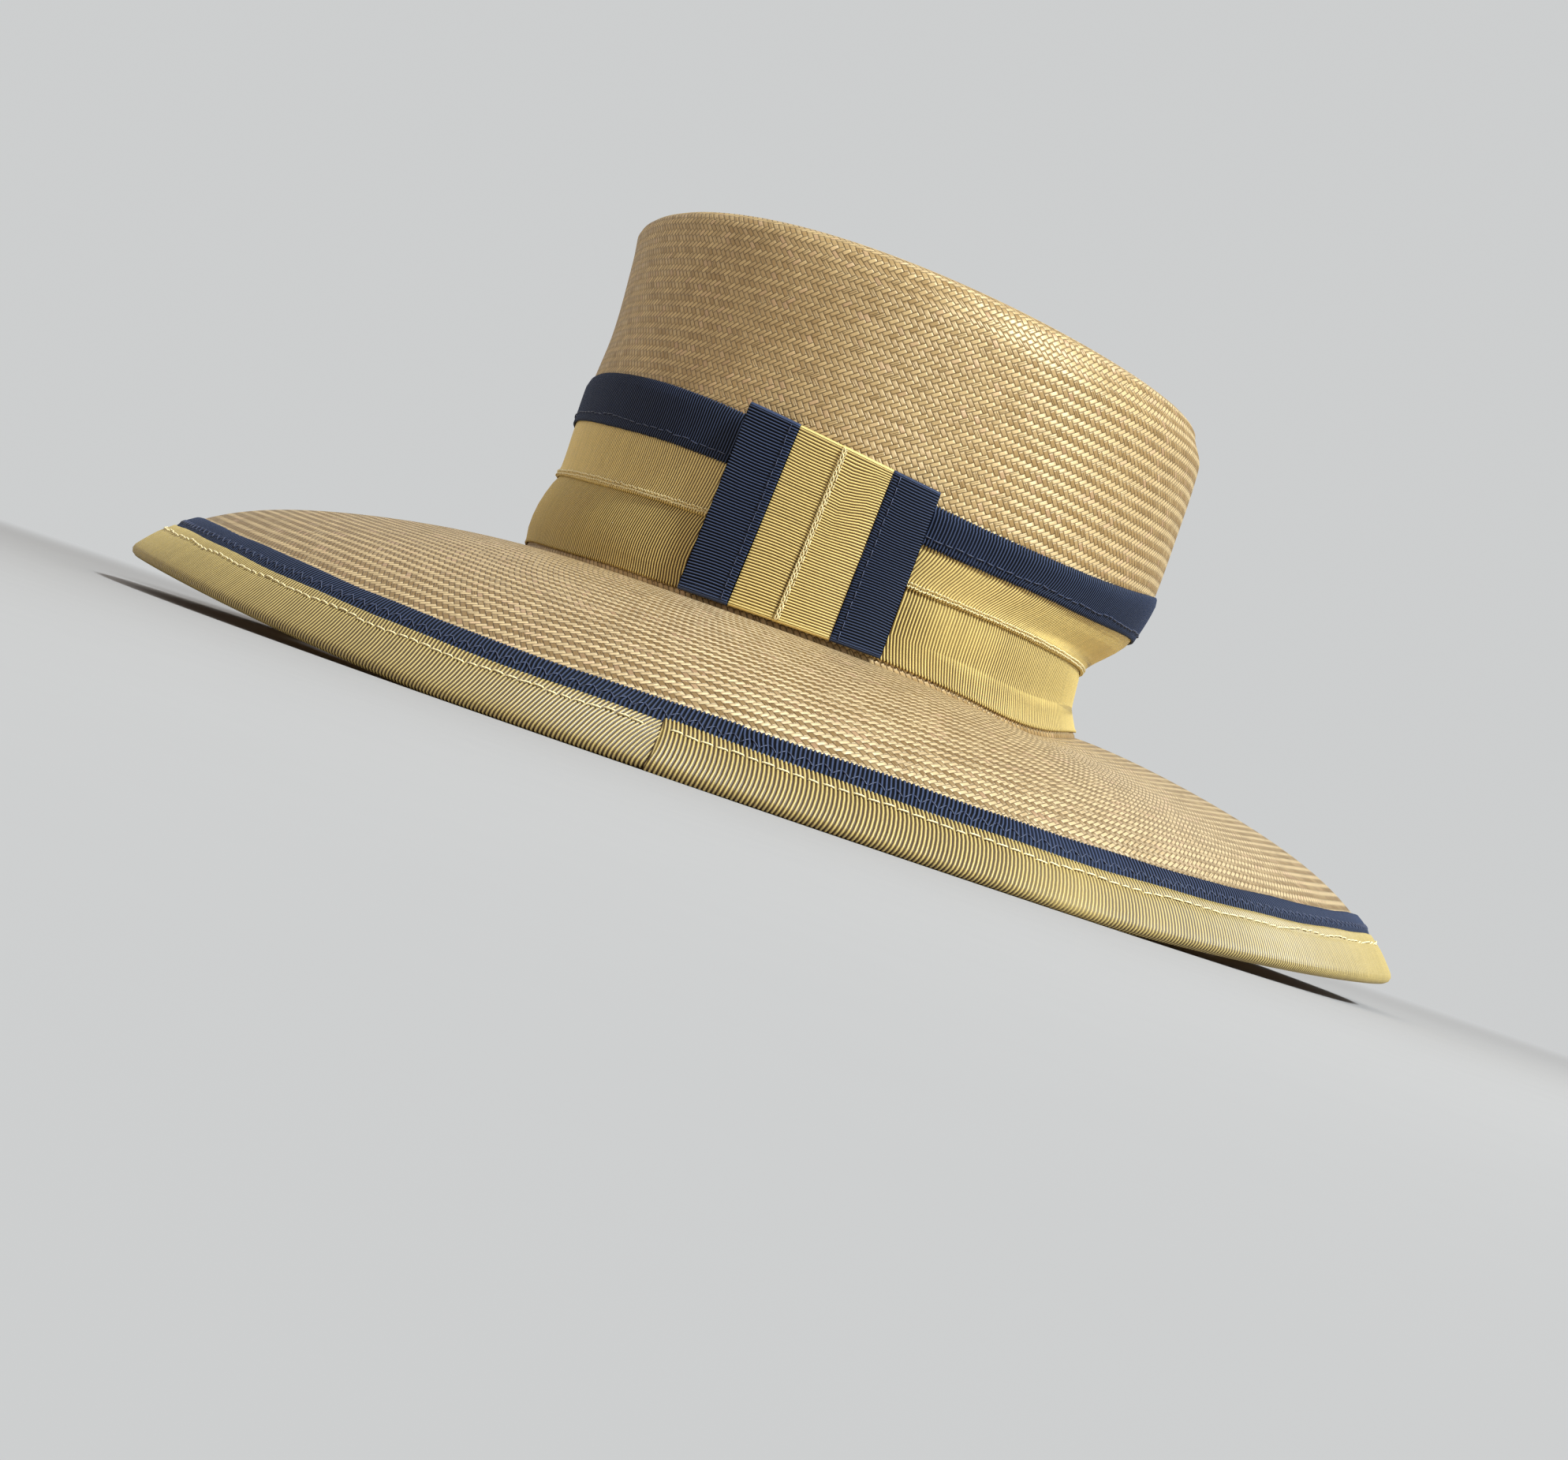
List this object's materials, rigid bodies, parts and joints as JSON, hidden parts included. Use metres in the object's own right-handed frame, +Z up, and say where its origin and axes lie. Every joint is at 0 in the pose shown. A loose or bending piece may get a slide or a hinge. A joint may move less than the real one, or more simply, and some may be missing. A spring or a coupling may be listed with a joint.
{
  "type": "straw boater hat",
  "caption": "Wide-brimmed woven straw boater hat with a tall flat-topped oval crown, a ribbed navy and yellow ribbon band, a flat front bow panel and a ribbon-bound down-turned brim.",
  "frame": {"origin": "under the middle of the hat's outline, on the plane that the brim's folded edge rests on", "axes": "+Z up out of the crown's flat tip; -Y toward the front, where the bow panel is; +X to the right seen from the front"},
  "size_m": [0.3928, 0.4028, 0.1537],
  "materials": {
    "straw": "woven straw, soft sheen",
    "navy_ribbon": "ribbed grosgrain, satin",
    "yellow_ribbon": "ribbed grosgrain, satin"
  },
  "bodies": {
    "root": {"crown": "straw", "brim": "straw", "brim_binding": "yellow_ribbon", "brim_stripe_top": "navy_ribbon", "brim_stripe_under": "navy_ribbon", "band_yellow_lower": "yellow_ribbon", "band_yellow_upper": "yellow_ribbon", "band_navy": "navy_ribbon", "bow_navy_left": "navy_ribbon", "bow_yellow_left": "yellow_ribbon", "bow_yellow_right": "yellow_ribbon", "bow_navy_right": "navy_ribbon"}
  },
  "joints": []
}
